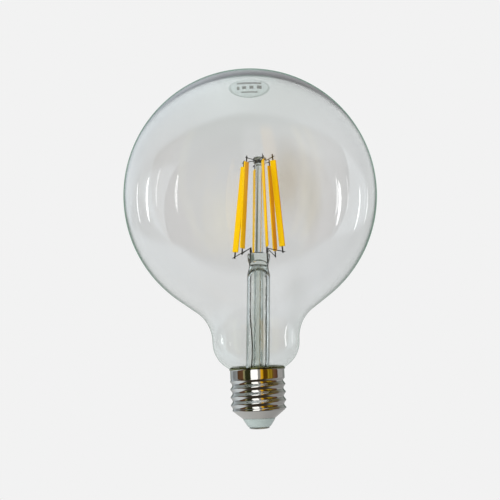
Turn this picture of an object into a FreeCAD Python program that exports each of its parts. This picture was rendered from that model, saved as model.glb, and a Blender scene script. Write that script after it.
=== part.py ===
import FreeCAD, Part
import math
import os

# A clear globe bulb of the LED filament kind with a screw cap.
# The origin is the lowest point of the centre contact, on the cap's axis, and +Z runs up
# the cap's axis to the globe's crown. The side that a viewer sees first faces -Y.
# Azimuths are degrees from that front side towards +X. All sizes are millimetres.

# Envelope
overall_length = 174.6
globe_diameter = 125.0
globe_wall = 0.5
crown_wall = 2.3
cone_angle = 36.0
neck_diameter = 41.5
neck_wall = 0.9
neck_blend_radius = 18.0
shoulder_height = 40.3
shoulder_radius = 13.8
throat_diameter = 22.4
throat_wall = 1.0
throat_bottom = 20.5

# Screw cap
cap_height = 27.8
cap_sheet = 0.3
rim_diameter = 26.6
rim_roll_height = 0.9
band_diameter = 25.6
band_bottom = 22.4
thread_major_diameter = 26.1
thread_minor_diameter = 24.1
thread_pitch = 3.629
thread_crest_height = 20.2
thread_bottom = 8.6
thread_fade_top = 1.8
thread_fade_foot = 0.9
sections_per_turn = 6
cone_top_diameter = 24.6
cone_foot_diameter = 15.4
cone_foot_height = 5.0

# Insulator, contact and cement
insulator_foot_diameter = 9.8
insulator_foot_height = 1.0
insulator_thickness = 3.4
insulator_hole_diameter = 3.0
contact_diameter = 9.4
contact_thickness = 0.9
contact_edge_lift = 0.35
contact_bow_share = 0.2
contact_hole_diameter = 1.6
solder_height = 0.45
cement_bottom = 23.0
cement_top = 27.4
cement_throat_top = 27.0

# Stem, which leans as it does in the lamp that was seen. Its heights are along its own axis,
# and the forms under its top are set by how far they lie below that top.
stem_lean_right = 2.9
stem_lean_front = 2.7
stem_pivot_height = 21.5
stem_tube_diameter = 11.2
stem_wall = 1.0
flare_diameter = 20.0
flare_height = 9.0
seal_height = 1.5
press_top_height = 61.4
press_top_width = 10.2
press_top_depth = 4.2
press_drop = 2.0
press_width = 11.0
press_depth = 5.2
waist_drop = 6.6
waist_width = 9.4
waist_depth = 7.6
straight_drop = 11.4
bore_end_drop = 6.2

# The flare's bell in straight steps: shares of its spread outward and of its height
flare_profile = ((0.0, 1.0), (0.1, 0.55), (0.35, 0.25), (1.0, 0.0))

# Exhaust tube and support rod
exhaust_diameter = 4.6
exhaust_wall = 1.0
exhaust_tip_height = -4.4
exhaust_tip_diameter = 1.6
exhaust_taper = 3.0
exhaust_top_drop = 5.0
exhaust_hole_diameter = 1.4
exhaust_hole_angle = 19.3
rod_diameter = 4.2
rod_foot_drop = 2.4
button_diameter = 6.8
button_height = 3.4
button_bevel_high = 1.2
button_bevel_low = 0.7
button_overlap = 0.2

# Filament cage
filament_count = 6
first_azimuth = 15.0
filament_length = 43.7
filament_width = 3.0
filament_thickness = 0.9
filament_bevel = 0.25
filament_foot_rise = 1.7
filament_foot_radius = 11.6
filament_head_radius = 8.1
tab_length = 3.2
tab_width = 0.7
tab_thickness = 0.25

# How far each strip stands off an even cage, as in the lamp that was seen: its foot and its
# head to the right, and the whole strip upward
strip_settings = (
    (0.85, -0.6, -0.2),
    (0.1, -1.25, 1.4),
    (0.0, -0.65, 0.95),
    (0.45, -0.5, -0.6),
    (-0.4, -1.0, -0.8),
    (0.35, -0.7, -0.65),
)

# Wires
lead_diameter = 0.56
lead_spacing = 7.7
lead_post_rise = 3.0
lead_rise = 1.6
lead_kink_top = 31.0
lead_kink_foot = 17.0
lead_kink_in = 1.2
arm_diameter = 0.4
arm_weld_length = 2.6
arm_tab_share = 0.75
arm_tail = 1.3
weld_clearance = 0.1
link_drop = 0.48
link_top_inset = 1.0
link_exit = 0.4
link_tab_share = 0.6
link_tail = 1.0

# Driver in the cap
board_diameter = 21.2
board_thickness = 1.0
board_underside = 15.6
board_lead_spacing = 6.4
rectifier_length = 4.7
rectifier_width = 3.9
rectifier_height = 2.4
rectifier_offset = 6.2
chip_length = 4.9
chip_width = 3.9
chip_height = 1.6
chip_offset = 6.0
chip_leg = 0.6
chip_lift = 0.2
capacitor_diameter = 6.0
capacitor_length = 11.0
capacitor_offset = 3.8
capacitor_pin_spacing = 2.5
capacitor_pin_diameter = 0.5
capacitor_pin_reach = 1.2
resistor_diameter = 2.4
resistor_length = 6.5
resistor_offset = 4.2
resistor_drop = 1.6
resistor_lead_diameter = 0.6
resistor_lead_spacing = 10.0
contact_wire_diameter = 0.6
contact_wire_inset = 0.1
shell_wire_diameter = 0.4
shell_wire_reach = 9.6
shell_wire_azimuth = 180.0
shell_wire_rise = 0.6
shell_wire_duck = 1.6
shell_wire_climb = 2.4

up = FreeCAD.Vector(0, 0, 1)
origin = FreeCAD.Vector(0, 0, 0)
globe_radius = globe_diameter / 2
globe_centre_height = overall_length - globe_radius

# Heights on the stem that follow from its top
press_height = press_top_height - press_drop
waist_height = press_top_height - waist_drop
stem_straight_end = press_top_height - straight_drop
stem_bore_end = press_top_height - bore_end_drop
exhaust_top_height = press_top_height - exhaust_top_drop
rod_foot_height = press_top_height - rod_foot_drop
lead_top_height = press_top_height + lead_post_rise
filament_foot_height = press_top_height + filament_foot_rise
button_low = filament_foot_height + filament_length - button_overlap
button_high = button_low + button_height


def on_ring(azimuth, radius, height):
    """A point on the cap's axes, from its azimuth, its radius and its height."""
    turn = math.radians(azimuth)
    return FreeCAD.Vector(radius * math.sin(turn), -radius * math.cos(turn), height)


def lathe(points_and_edges):
    """Revolve a closed half outline, given as edges in the XZ plane, about the Z axis."""
    face = Part.Face(Part.Wire(Part.__sortEdges__(points_and_edges)))
    return face.revolve(origin, up, 360)


def in_section(radius, height):
    """A point of a half outline."""
    return FreeCAD.Vector(radius, 0, height)


def line(start, end):
    """A straight edge between two half outline points, each a radius and a height."""
    return Part.makeLine(in_section(*start), in_section(*end))


def polyline(*points):
    """Straight edges through half outline points."""
    return [line(start, end) for start, end in zip(points, points[1:])]


def arc_about(centre, radius, first, last):
    """An arc in the section plane between two angles in degrees, 0 being outward."""

    def at(angle):
        turn = math.radians(angle)
        return in_section(centre[0] + radius * math.cos(turn), centre[1] + radius * math.sin(turn))

    return Part.Arc(at(first), at((first + last) / 2), at(last)).toShape()


def round_cap(radius, base, tip):
    """The arc of a round cap, from its edge at a base height to its tip on the axis."""
    rise = tip - base
    bow = (radius ** 2 + rise ** 2) / (2 * rise)
    centre = tip - bow
    start = math.degrees(math.atan2(base - centre, radius))
    return arc_about((0, centre), abs(bow), start, math.copysign(90, rise))


def ends(edge):
    """The radius and height of an edge's two ends."""
    first = edge.valueAt(edge.FirstParameter)
    last = edge.valueAt(edge.LastParameter)
    return (first.x, first.z), (last.x, last.z)


def wire(points, diameter):
    """A thin round wire along straight runs that meet at mitred bends."""
    path = Part.makePolygon(points)
    section = Part.Wire(Part.makeCircle(diameter / 2, points[0], points[1] - points[0]))
    right_corner = 1
    return path.makePipeShell([section], True, False, right_corner)


# The stem's own frame: its axis passes the pivot on the cap's axis and leans from there
lean = FreeCAD.Vector(
    math.tan(math.radians(stem_lean_right)),
    -math.tan(math.radians(stem_lean_front)),
    1,
).normalize()
stem_placement = FreeCAD.Placement(
    FreeCAD.Vector(0, 0, stem_pivot_height), FreeCAD.Rotation(up, lean)
)


def on_stem(azimuth, radius, height):
    """A point in the cap's frame from its azimuth, radius and height about the stem's axis."""
    return stem_placement.multVec(on_ring(azimuth, radius, height))


def placed_on_stem(shape):
    """A shape drawn about the Z axis, moved to the stem's frame."""
    moved = shape.copy()
    moved.Placement = stem_placement.multiply(moved.Placement)
    return moved


def envelope_side(radius, neck_radius, blend_radius, shoulder, throat_radius):
    """The side of the envelope from the equator down to the throat, as edges."""
    tilt = math.radians(cone_angle)
    cone_start = (radius * math.sin(tilt), globe_centre_height - radius * math.cos(tilt))
    run = (cone_start[0] - neck_radius) / math.cos(tilt)
    corner_height = cone_start[1] - run * math.sin(tilt)
    blend_reach = blend_radius * math.tan((math.pi / 2 - tilt) / 2)
    blend_centre = (neck_radius + blend_radius, corner_height - blend_reach)
    shoulder_centre = (neck_radius - shoulder, shoulder_height)
    sweep = math.degrees(math.acos((throat_radius - shoulder_centre[0]) / shoulder))
    globe = arc_about((0, globe_centre_height), radius, 0, cone_angle - 90)
    blend = arc_about(blend_centre, blend_radius, 90 + cone_angle, 180)
    turn = arc_about(shoulder_centre, shoulder, 0, -sweep)
    throat_start = ends(turn)[1]
    return [
        globe,
        line(ends(globe)[1], ends(blend)[0]),
        blend,
        line(ends(blend)[1], ends(turn)[0]),
        turn,
        line(throat_start, (throat_radius, throat_bottom)),
    ]


def make_glass_globe():
    """The blown envelope: thin at the equator, thicker at the crown, in the neck and below."""
    outer = envelope_side(
        globe_radius, neck_diameter / 2, neck_blend_radius, shoulder_radius, throat_diameter / 2
    )
    inner_radius = globe_radius - globe_wall
    inner = envelope_side(
        inner_radius,
        neck_diameter / 2 - neck_wall,
        neck_blend_radius + neck_wall,
        shoulder_radius - neck_wall,
        throat_diameter / 2 - throat_wall,
    )
    crown = round_cap(globe_radius, globe_centre_height, overall_length)
    inner_crown = round_cap(inner_radius, globe_centre_height, overall_length - crown_wall)
    axis_line = line((0, overall_length), (0, overall_length - crown_wall))
    foot = line(ends(outer[-1])[1], ends(inner[-1])[1])
    return lathe(outer + inner + [crown, inner_crown, axis_line, foot])


def make_cap_shell():
    """The rolled cap: rim, plain band, screw thread and lower cone in one thin sheet."""
    threaded_outer = thread_core(0)
    threaded_inner = thread_core(cap_sheet)
    thread = threaded_outer.cut(threaded_inner)
    return thread.fuse([make_cap_top(), make_cap_cone()]).removeSplitter()


def thread_core(inset):
    """The space within the rolled thread, drawn in by the sheet's thickness for its inner face.

    A level cut through a rolled thread is almost a true circle whose centre stands off the
    axis by half the thread's depth and goes round once for each pitch, so the thread is
    lofted through such circles. The offset fades to nothing at both ends of the thread.
    """
    depth = (thread_major_diameter - thread_minor_diameter) / 4
    middle_radius = (thread_major_diameter + thread_minor_diameter) / 4 - inset
    top_radius = band_diameter / 2 - inset
    foot_radius = cone_top_diameter / 2 - inset
    step = thread_pitch / sections_per_turn
    count = round((band_bottom - thread_bottom) / step)
    circles = []
    for number in range(count + 1):
        height = thread_bottom + (band_bottom - thread_bottom) * number / count
        low_share = ease((height - thread_bottom) / thread_fade_foot)
        high_share = ease((band_bottom - height) / thread_fade_top)
        offset = depth * low_share * high_share
        radius = middle_radius
        radius += (foot_radius - middle_radius) * (1 - low_share)
        radius += (top_radius - middle_radius) * (1 - high_share)
        turn = 2 * math.pi * (height - thread_crest_height) / thread_pitch
        centre = FreeCAD.Vector(offset * math.cos(turn), offset * math.sin(turn), height)
        circles.append(Part.Wire(Part.makeCircle(radius, centre, up)))
    return Part.makeLoft(circles, True, True)


def ease(share):
    """A smooth step from 0 to 1."""
    share = min(max(share, 0), 1)
    return share * share * (3 - 2 * share)


def make_cap_top():
    """The plain band and the rim, which is turned out a little."""
    band = band_diameter / 2
    rim = rim_diameter / 2
    roll_foot = cap_height - rim_roll_height
    return lathe(
        polyline(
            (band, band_bottom),
            (band, roll_foot),
            (rim, cap_height - cap_sheet),
            (rim, cap_height),
            (rim - cap_sheet, cap_height),
            (band - cap_sheet, roll_foot),
            (band - cap_sheet, band_bottom),
            (band, band_bottom),
        )
    )


def make_cap_cone():
    """The cone below the thread, down to the insulator."""
    top = cone_top_diameter / 2
    foot = cone_foot_diameter / 2
    return lathe(
        polyline(
            (top, thread_bottom),
            (foot, cone_foot_height),
            (foot - cap_sheet, cone_foot_height),
            (top - cap_sheet, thread_bottom),
            (top, thread_bottom),
        )
    )


def make_cap_insulator():
    """The insulator cone that fills the shell's lower end and carries the contact."""
    shell_foot = cone_foot_diameter / 2 - cap_sheet
    shell_top = cone_top_diameter / 2 - cap_sheet
    rise = thread_bottom - cone_foot_height
    top_height = cone_foot_height + insulator_thickness
    top_radius = shell_foot + (shell_top - shell_foot) * insulator_thickness / rise
    hole = insulator_hole_diameter / 2
    return lathe(
        polyline(
            (hole, insulator_foot_height),
            (insulator_foot_diameter / 2, insulator_foot_height),
            (cone_foot_diameter / 2, cone_foot_height),
            (shell_foot, cone_foot_height),
            (top_radius, top_height),
            (hole, top_height),
            (hole, insulator_foot_height),
        )
    )


def make_centre_contact():
    """The pressed end contact, with its edge lifted and a hole for the wire."""
    radius = contact_diameter / 2
    hole = contact_hole_diameter / 2
    top = insulator_foot_height
    foot = top - contact_thickness
    underside = Part.Arc(
        in_section(hole, foot),
        in_section((hole + radius) / 2, foot + contact_edge_lift * contact_bow_share),
        in_section(radius, foot + contact_edge_lift),
    ).toShape()
    rest = polyline((radius, foot + contact_edge_lift), (radius, top), (hole, top), (hole, foot))
    return lathe([underside] + rest)


def make_contact_solder(wire):
    """The solder that fills the contact's hole around the wire and stands out as a dot."""
    foot = insulator_foot_height - contact_thickness
    hole = contact_hole_diameter / 2
    lowest_point = 0
    dome = round_cap(hole, foot, lowest_point)
    rest = polyline(
        (hole, foot),
        (hole, foot + solder_height),
        (0, foot + solder_height),
        (0, lowest_point),
    )
    return lathe([dome] + rest).cut(wire)


def make_stem_tube(cutters):
    """The glass stem: flare, tube, waist and flattened press, closed round the wires."""
    outer = stem_outer()
    seal = seal_ring()
    body = outer.fuse(seal).cut(stem_bore())
    body = body.cut(exhaust_hole())
    for cutter in cutters:
        body = body.cut(cutter)
    return body.removeSplitter()


def flare_steps(radius, mouth_radius, drop):
    """The bell of the flare, from the tube down to its mouth, as a few straight steps."""
    spread = mouth_radius - radius
    steps = []
    for out, rise in flare_profile:
        steps.append((radius + spread * out, flare_height * rise - drop * (1 - rise)))
    return steps


def stem_outer():
    """The stem's outer form."""
    tube_radius = stem_tube_diameter / 2
    skirt = lathe(
        polyline(
            *flare_steps(tube_radius, flare_diameter / 2, 0),
            (0, 0),
            (0, stem_straight_end),
            (tube_radius, stem_straight_end),
            (tube_radius, flare_height),
        )
    )
    sections = [
        (stem_tube_diameter, stem_tube_diameter, stem_straight_end),
        (waist_width, waist_depth, waist_height),
        (press_width, press_depth, press_height),
        (press_top_width, press_top_depth, press_top_height),
    ]
    press = Part.makeLoft([oval_wire(*section) for section in sections], True, True)
    return placed_on_stem(skirt.fuse(press))


def oval_wire(width, depth, height):
    """An ellipse of a width in X and a depth in Y."""
    centre = FreeCAD.Vector(0, 0, height)
    if width == depth:
        return Part.Wire(Part.makeCircle(width / 2, centre, up))
    ellipse = Part.Ellipse(
        FreeCAD.Vector(width / 2, 0, height), FreeCAD.Vector(0, depth / 2, height), centre
    )
    return Part.Wire(ellipse.toShape())


def seal_ring():
    """The melted ring where the flare is sealed into the envelope's throat."""
    outer = throat_diameter / 2 - throat_wall
    inner = flare_diameter / 2 - stem_wall
    low = stem_pivot_height - seal_height / 2
    high = stem_pivot_height + seal_height / 2
    return lathe(polyline((inner, low), (outer, low), (outer, high), (inner, high), (inner, low)))


def stem_bore():
    """The hollow of the stem: an open flare, a straight bore and a rounded end."""
    bore_radius = stem_tube_diameter / 2 - stem_wall
    mouth_radius = flare_diameter / 2 - stem_wall
    dome = round_cap(bore_radius, stem_straight_end, stem_bore_end)
    rest = polyline(
        (bore_radius, stem_straight_end),
        *flare_steps(bore_radius, mouth_radius, seal_height),
        (0, -seal_height),
        (0, stem_bore_end),
    )
    return placed_on_stem(lathe([dome] + rest))


def exhaust_hole():
    """The small hole through which the globe was filled, from the exhaust tube to the front."""
    radius = exhaust_hole_diameter / 2
    start = FreeCAD.Vector(0, 0, exhaust_top_height)
    climb = math.radians(exhaust_hole_angle)
    forward = FreeCAD.Vector(0, -math.cos(climb), math.sin(climb))
    hole = Part.makeCylinder(radius, waist_width, start, forward)
    return placed_on_stem(hole)


def make_exhaust_tube():
    """The exhaust tube, open into the press and drawn to a sealed tip below the flare."""
    outer = exhaust_diameter / 2
    inner = outer - exhaust_wall
    tip = exhaust_tip_height
    taper_top = tip + exhaust_taper
    outline = polyline(
        (0, tip),
        (exhaust_tip_diameter / 2, tip),
        (outer, taper_top),
        (outer, exhaust_top_height),
        (inner, exhaust_top_height),
        (inner, taper_top),
        (0, tip + exhaust_wall),
        (0, tip),
    )
    return placed_on_stem(lathe(outline))


def make_support_rod():
    """The glass rod on the press, with the button that holds the link wires."""
    rod = rod_diameter / 2
    button = button_diameter / 2
    outline = polyline(
        (0, rod_foot_height),
        (rod, rod_foot_height),
        (rod, button_low),
        (button - button_bevel_low, button_low),
        (button, button_low + button_bevel_high),
        (button, button_high - button_bevel_low),
        (button - button_bevel_high, button_high),
        (0, button_high),
        (0, rod_foot_height),
    )
    return placed_on_stem(lathe(outline))


def filament_azimuth(number):
    """The azimuth of a filament, counted from 0."""
    return first_azimuth + number * 360 / filament_count


def filament_end(number, head, beyond=0.0):
    """A point on a filament's centre line: its foot or head, or a way beyond that end."""
    azimuth = filament_azimuth(number)
    foot_aside, head_aside, rise = strip_settings[number]
    slope = (filament_head_radius - filament_foot_radius) / filament_length
    level = math.sqrt(1 - slope ** 2)
    foot = FreeCAD.Vector(on_ring(azimuth, filament_foot_radius, filament_foot_height + rise))
    along = on_ring(azimuth, slope, level)
    distance = filament_length + beyond if head else -beyond
    point = foot + along * distance
    point.x += foot_aside + (head_aside - foot_aside) * distance / filament_length
    return stem_placement.multVec(point)


def strip(number, start, end, width, thickness):
    """A flat strip between two points, its broad faces turned sideways round the cage."""
    along = (end - start).normalize()
    across = stem_placement.Rotation.multVec(on_ring(filament_azimuth(number), 1, 0))
    across = (across - along * across.dot(along)).normalize()
    side = along.cross(across)
    corners = []
    for across_sign, side_sign in ((-1, -1), (1, -1), (1, 1), (-1, 1)):
        offset = across * (across_sign * width / 2) + side * (side_sign * thickness / 2)
        corners.append(start + offset)
    face = Part.Face(Part.makePolygon(corners + [corners[0]]))
    return face.extrude(end - start)


def make_filament(number):
    """One coated LED strip with bevelled edges and ends."""
    start = filament_end(number, False)
    end = filament_end(number, True)
    body = strip(number, start, end, filament_width, filament_thickness)
    return body.makeChamfer(filament_bevel, body.Edges)


def make_filament_tabs():
    """The end tabs of all the filaments, as separate solids."""
    tabs = []
    for number in range(filament_count):
        for head in (False, True):
            start = filament_end(number, head)
            end = filament_end(number, head, tab_length)
            tabs.append(strip(number, start, end, tab_width, tab_thickness))
    return Part.makeCompound(tabs)


def lead_axis(side, height, inward=0.0):
    """A point of a lead wire in the cap's frame; side is -1 at the left and 1 at the right."""
    return stem_placement.multVec(FreeCAD.Vector(side * (lead_spacing / 2 - inward), 0, height))


def make_lead_wire(side):
    """A lead-in wire from the board through the press to its post above it."""
    foot = FreeCAD.Vector(side * board_lead_spacing / 2, 0, board_underside)
    points = [foot, foot + up * (board_thickness + lead_rise)]
    if side < 0:
        points.append(lead_axis(side, lead_kink_foot, lead_kink_in))
        points.append(lead_axis(side, lead_kink_top))
    else:
        points.append(lead_axis(side, flare_height))
    points.append(lead_axis(side, lead_top_height))
    return wire(points, lead_diameter)


def side_of_lead(number):
    """Which lead feeds a filament: 1 for the right-hand half of the cage."""
    return 1 if number < filament_count / 2 else -1


def beside_tab(number, head, share):
    """The centre of a wire that crosses a tab and lies against its broad face."""
    base = filament_end(number, head, tab_length * share)
    along = (filament_end(number, True) - filament_end(number, False)).normalize()
    across = stem_placement.Rotation.multVec(on_ring(filament_azimuth(number), 1, 0))
    side = along.cross(across).normalize()
    return base + side * ((tab_thickness + arm_diameter) / 2 + weld_clearance)


def make_arm_wire(number):
    """A thin wire welded along a lead's post and bent out to a filament's lower tab."""
    side = side_of_lead(number)
    crossing = beside_tab(number, False, arm_tab_share)
    post_top = lead_axis(side, lead_top_height)
    level_step = crossing - post_top
    level_step = level_step - lean * level_step.dot(lean)
    outward = level_step.normalize()
    hold = outward * (lead_diameter + arm_diameter) / 2
    weld_foot = lead_axis(side, lead_top_height - arm_weld_length) + hold
    weld_top = lead_axis(side, lead_top_height - arm_diameter) + hold
    tail = crossing + (crossing - weld_top).normalize() * arm_tail
    return wire([weld_foot, weld_top, tail], arm_diameter)


def make_link_wire(number):
    """A wire through the button that joins the upper tabs of two opposite filaments."""
    opposite = number + filament_count // 2
    height = button_high - link_top_inset - link_drop * number
    ends_of_wire = []
    for member in (number, opposite):
        azimuth = filament_azimuth(member)
        exit_point = on_stem(azimuth, button_diameter / 2 + link_exit, height)
        crossing = beside_tab(member, True, link_tab_share)
        outward = (crossing - exit_point).normalize()
        ends_of_wire.append([exit_point, crossing + outward * link_tail])
    first, second = ends_of_wire
    return wire(first[::-1] + second, arm_diameter)


def make_cap_cement(wire):
    """The cement ring between the throat and the plain band, which fills the rim's flare."""
    inner = throat_diameter / 2
    outer = band_diameter / 2 - cap_sheet
    roll_foot = cap_height - rim_roll_height
    spread = rim_diameter / 2 - cap_sheet - outer
    lip = outer + spread * (cement_top - roll_foot) / rim_roll_height
    ring = lathe(
        polyline(
            (inner, cement_bottom),
            (outer, cement_bottom),
            (outer, roll_foot),
            (lip, cement_top),
            (inner, cement_throat_top),
            (inner, cement_bottom),
        )
    )
    return ring.cut(wire)


def make_driver_board(pins):
    """The round board, drilled for every pin that passes it."""
    centre = FreeCAD.Vector(0, 0, board_underside)
    board = Part.makeCylinder(board_diameter / 2, board_thickness, centre)
    for pin in pins:
        board = board.cut(pin)
    return board


def make_bridge_rectifier():
    """The rectifier: a low moulded body on four bent legs."""
    return chip_body(rectifier_length, rectifier_width, rectifier_height, -rectifier_offset, 2)


def make_driver_chip():
    """The driver chip: a flat moulded body on eight legs."""
    return chip_body(chip_length, chip_width, chip_height, chip_offset, 4)


def chip_body(length, width, height, offset, legs_a_side):
    """A surface-mounted part on the board's upper face, at an offset along Y."""
    base = board_underside + board_thickness
    corner = FreeCAD.Vector(-length / 2, offset - width / 2, base + chip_lift)
    solid = Part.makeBox(length, width, height - chip_lift, corner)
    pitch = length / legs_a_side
    for index in range(legs_a_side):
        x = -length / 2 + pitch * (index + 0.5) - chip_leg / 2
        for sign in (-1, 1):
            near = offset + sign * width / 2
            y = near if sign > 0 else near - chip_leg
            foot = Part.makeBox(chip_leg, chip_leg, height / 2, FreeCAD.Vector(x, y, base))
            solid = solid.fuse(foot)
    return solid.removeSplitter()


def make_smoothing_capacitor():
    """The capacitor can, lying under the board, with its two pins bent up into it."""
    radius = capacitor_diameter / 2
    centre_height = board_underside - radius
    left = -capacitor_length / 2
    start = FreeCAD.Vector(left, capacitor_offset, centre_height)
    can = Part.makeCylinder(radius, capacitor_length, start, FreeCAD.Vector(1, 0, 0))
    pins = []
    for sign in (-1, 1):
        y = capacitor_offset + sign * capacitor_pin_spacing / 2
        bend = left - capacitor_pin_reach
        points = [
            FreeCAD.Vector(left + capacitor_pin_diameter, y, centre_height),
            FreeCAD.Vector(bend, y, centre_height),
            FreeCAD.Vector(bend, y, board_underside + board_thickness),
        ]
        pins.append(wire(points, capacitor_pin_diameter))
    return can.fuse(pins)


def make_fusible_resistor():
    """The resistor body beside the capacitor, with its leads bent up into the board."""
    height = board_underside - resistor_drop
    reach = resistor_lead_spacing / 2
    body = Part.makeCylinder(
        resistor_diameter / 2,
        resistor_length,
        FreeCAD.Vector(-resistor_length / 2, -resistor_offset, height),
        FreeCAD.Vector(1, 0, 0),
    )
    top = board_underside + board_thickness
    points = [
        FreeCAD.Vector(-reach, -resistor_offset, top),
        FreeCAD.Vector(-reach, -resistor_offset, height),
        FreeCAD.Vector(reach, -resistor_offset, height),
        FreeCAD.Vector(reach, -resistor_offset, top),
    ]
    return body.fuse(wire(points, resistor_lead_diameter))


def make_contact_wire():
    """The wire from the board down through the insulator to the centre contact."""
    foot = insulator_foot_height - contact_thickness + contact_wire_inset
    top = board_underside + board_thickness
    radius = contact_wire_diameter / 2
    return Part.makeCylinder(radius, top - foot, FreeCAD.Vector(0, 0, foot))


def make_shell_wire():
    """The wire from the board, up past the throat, pressed against the plain band."""
    root = thread_minor_diameter / 2 - cap_sheet
    throat = throat_diameter / 2
    band = band_diameter / 2 - cap_sheet
    between = (root + throat) / 2
    pressed = band - shell_wire_diameter / 2 - weld_clearance
    top = board_underside + board_thickness
    route = [
        (shell_wire_reach, board_underside),
        (shell_wire_reach, top + shell_wire_rise),
        (between, throat_bottom - shell_wire_duck),
        (between, band_bottom + shell_wire_rise),
        (pressed, band_bottom + shell_wire_climb),
        (pressed, cement_throat_top),
    ]
    points = [on_ring(shell_wire_azimuth, radius, height) for radius, height in route]
    return wire(points, shell_wire_diameter)


def build():
    """Every piece by name."""
    pieces = {}
    pieces["glass_globe"] = make_glass_globe()
    left_lead = make_lead_wire(-1)
    right_lead = make_lead_wire(1)
    exhaust_tube = make_exhaust_tube()
    support_rod = make_support_rod()
    exhaust_space = Part.makeCylinder(
        exhaust_diameter / 2, exhaust_top_height - flare_height, FreeCAD.Vector(0, 0, flare_height)
    )
    stem_cutters = [left_lead, right_lead, placed_on_stem(exhaust_space), support_rod]
    pieces["stem_tube"] = make_stem_tube(stem_cutters)
    pieces["exhaust_tube"] = exhaust_tube
    pieces["lead_wire_left"] = left_lead
    pieces["lead_wire_right"] = right_lead
    links = [make_link_wire(number) for number in range(filament_count // 2)]
    for link in links:
        support_rod = support_rod.cut(link)
    pieces["support_rod"] = support_rod
    for number, link in enumerate(links):
        pieces[f"link_wire_{number + 1}"] = link
    for number in range(filament_count):
        pieces[f"filament_{number + 1}"] = make_filament(number)
        pieces[f"arm_wire_{number + 1}"] = make_arm_wire(number)
    pieces["filament_tabs"] = make_filament_tabs()
    pieces["cap_shell"] = make_cap_shell()
    pieces["cap_insulator"] = make_cap_insulator()
    pieces["centre_contact"] = make_centre_contact()
    contact_wire = make_contact_wire()
    pieces["contact_wire"] = contact_wire
    pieces["contact_solder"] = make_contact_solder(contact_wire)
    shell_wire = make_shell_wire()
    pieces["shell_wire"] = shell_wire
    pieces["cap_cement"] = make_cap_cement(shell_wire)
    pieces["bridge_rectifier"] = make_bridge_rectifier()
    pieces["driver_chip"] = make_driver_chip()
    capacitor = make_smoothing_capacitor()
    resistor = make_fusible_resistor()
    pieces["smoothing_capacitor"] = capacitor
    pieces["fusible_resistor"] = resistor
    pins = [capacitor, resistor, contact_wire, shell_wire, left_lead, right_lead]
    pieces["driver_board"] = make_driver_board(pins)
    return pieces


os.makedirs("parts", exist_ok=True)
for name, piece in build().items():
    piece.exportStep(f"parts/{name}.step")
    print(name, len(piece.Solids), piece.isValid(), round(piece.Volume, 2))
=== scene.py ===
import math

import bmesh
import bpy
from mathutils import Matrix, Vector


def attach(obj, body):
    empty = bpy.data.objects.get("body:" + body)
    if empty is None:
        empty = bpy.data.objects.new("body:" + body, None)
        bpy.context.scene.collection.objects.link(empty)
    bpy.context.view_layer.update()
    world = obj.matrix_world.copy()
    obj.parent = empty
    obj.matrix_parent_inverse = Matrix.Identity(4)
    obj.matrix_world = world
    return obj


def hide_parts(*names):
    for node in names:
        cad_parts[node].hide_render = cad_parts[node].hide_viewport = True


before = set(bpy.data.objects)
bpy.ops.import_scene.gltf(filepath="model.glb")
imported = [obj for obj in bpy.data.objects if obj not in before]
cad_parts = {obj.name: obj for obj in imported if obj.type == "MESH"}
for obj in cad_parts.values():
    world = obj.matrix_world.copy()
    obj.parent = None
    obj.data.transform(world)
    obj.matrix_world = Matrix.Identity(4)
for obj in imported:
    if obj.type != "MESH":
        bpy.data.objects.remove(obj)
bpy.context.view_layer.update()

# Camera
# It stands low in front of the cap and is tilted up at the globe, as the photographer's was.
camera_data = bpy.data.cameras.new("camera")
camera_data.lens = 44.79
camera_data.sensor_width = 36.0
camera = bpy.data.objects.new("camera", camera_data)
camera.matrix_world = (
    Matrix.Translation((0, -0.3, 0.01988))
    @ Matrix.Rotation(math.radians(0.217), 4, "Z")
    @ Matrix.Rotation(math.radians(102.299), 4, "X")
    @ Matrix.Rotation(math.radians(-2.291), 4, "Z")
)
bpy.context.scene.collection.objects.link(camera)
bpy.context.scene.camera = camera
bpy.context.scene.view_settings.view_transform = "Standard"
bpy.context.scene.cycles.max_bounces = 32
bpy.context.scene.cycles.transmission_bounces = 32
bpy.context.scene.cycles.glossy_bounces = 12
bpy.context.scene.cycles.transparent_max_bounces = 32


# Studio
# A pale sweep, and a pale floor well below the lamp. What shines also sees the room behind the
# camera: a dark, warm wall between a pale ceiling and a pale floor, with pale sides.
class Socket:
    """A node's output. The usual signs add Math nodes behind it."""

    def __init__(self, nodes, output):
        self.nodes = nodes
        self.output = output

    def __getitem__(self, name):
        return Socket(self.nodes, self.output.node.outputs[name])

    def maths(self, operation, *values):
        return self.nodes.add("ShaderNodeMath", {"operation": operation}, dict(enumerate(values)))

    def __add__(self, other):
        return self.maths("ADD", self, other)

    def __radd__(self, other):
        return self.maths("ADD", other, self)

    def __sub__(self, other):
        return self.maths("SUBTRACT", self, other)

    def __rsub__(self, other):
        return self.maths("SUBTRACT", other, self)

    def __mul__(self, other):
        return self.maths("MULTIPLY", self, other)

    def __rmul__(self, other):
        return self.maths("MULTIPLY", other, self)

    def __truediv__(self, other):
        return self.maths("DIVIDE", self, other)

    def __gt__(self, other):
        return self.maths("GREATER_THAN", self, other)

    def __lt__(self, other):
        return self.maths("LESS_THAN", self, other)


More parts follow.
